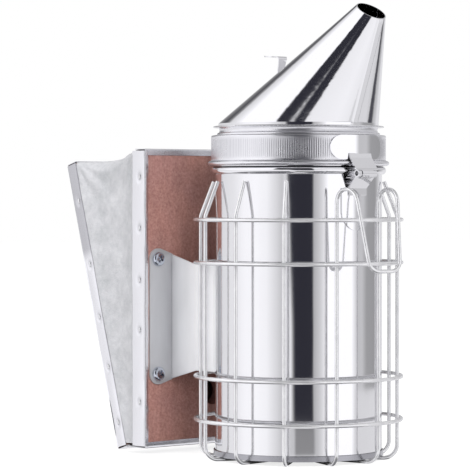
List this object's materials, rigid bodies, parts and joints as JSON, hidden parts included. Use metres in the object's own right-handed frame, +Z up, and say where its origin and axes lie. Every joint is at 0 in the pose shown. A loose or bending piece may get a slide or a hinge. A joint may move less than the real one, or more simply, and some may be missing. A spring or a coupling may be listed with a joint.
{
  "type": "bee smoker",
  "caption": "Hand bee smoker: tin fire can in a wire guard, hinged lid with a slanting spout cone, and sprung leather bellows on brackets behind it.",
  "frame": {"origin": "on the ground plane the wire feet stand on, on the fire can's axis", "axes": "+Z up along the can's axis, +X towards the lid hinge and hanging hook, -X towards the bellows, +Y to the smoker's left"},
  "size_m": [0.2385, 0.1258, 0.27],
  "materials": {
    "tinned_steel": "polished",
    "grate_steel": "satin",
    "rivet_steel": "satin",
    "bright_wire": "gloss",
    "bracket_steel": "satin",
    "zinc_screws": "gloss",
    "hardboard": "matte",
    "grey_leather": "matte",
    "spring_steel": "gloss",
    "edge_strip": "gloss"
  },
  "bodies": {
    "can_and_guard": {"can_shell": "tinned_steel", "can_bottom": "tinned_steel", "air_inlet_tube": "tinned_steel", "fire_grate": "grate_steel", "hinge_lower_leaf": "tinned_steel", "hinge_pin": "rivet_steel", "guard_wires": "bright_wire", "hanging_hook": "bright_wire", "guard_hoop_1": "bright_wire", "guard_hoop_2": "bright_wire", "guard_hoop_3": "bright_wire", "guard_hoop_4": "bright_wire", "bracket_left": "bracket_steel", "bracket_right": "bracket_steel", "bracket_rivets": "rivet_steel", "bracket_screws": "zinc_screws", "fixed_board": "hardboard", "bellows_leather": "grey_leather", "bellows_hinge_strip": "grey_leather", "bellows_spring": "spring_steel", "fixed_strip_nails": "rivet_steel", "fixed_strip_left": "edge_strip", "fixed_strip_right": "edge_strip", "fixed_strip_top": "edge_strip", "fixed_strip_bottom": "edge_strip"},
    "lid": {"lid_collar": "tinned_steel", "lid_neck": "tinned_steel", "cone_flange": "tinned_steel", "spout_cone": "tinned_steel", "lifting_tab": "tinned_steel", "tab_rivets": "rivet_steel", "hinge_upper_leaf": "tinned_steel"},
    "moving_bellows_board": {"moving_board": "hardboard", "moving_strip_left": "edge_strip", "moving_strip_right": "edge_strip", "moving_strip_top": "edge_strip", "moving_strip_bottom": "edge_strip", "moving_strip_nails": "rivet_steel"}
  },
  "joints": [
    {"name": "lid_hinge", "type": "hinge", "parent": "can_and_guard", "child": "lid", "pos_m": [0.0575, 0, 0.1705], "axis": [0, 1, 0], "range_deg": [0, 105]},
    {"name": "bellows_squeeze", "type": "hinge", "parent": "can_and_guard", "child": "moving_bellows_board", "pos_m": [-0.09175, 0, 0.0048], "axis": [0, 1, 0], "range_deg": [0, 12], "stiffness_Nm_per_rad": 4, "springref_deg": -6.88, "deforming": ["bellows_leather", "bellows_hinge_strip", "bellows_spring"]}
  ]
}
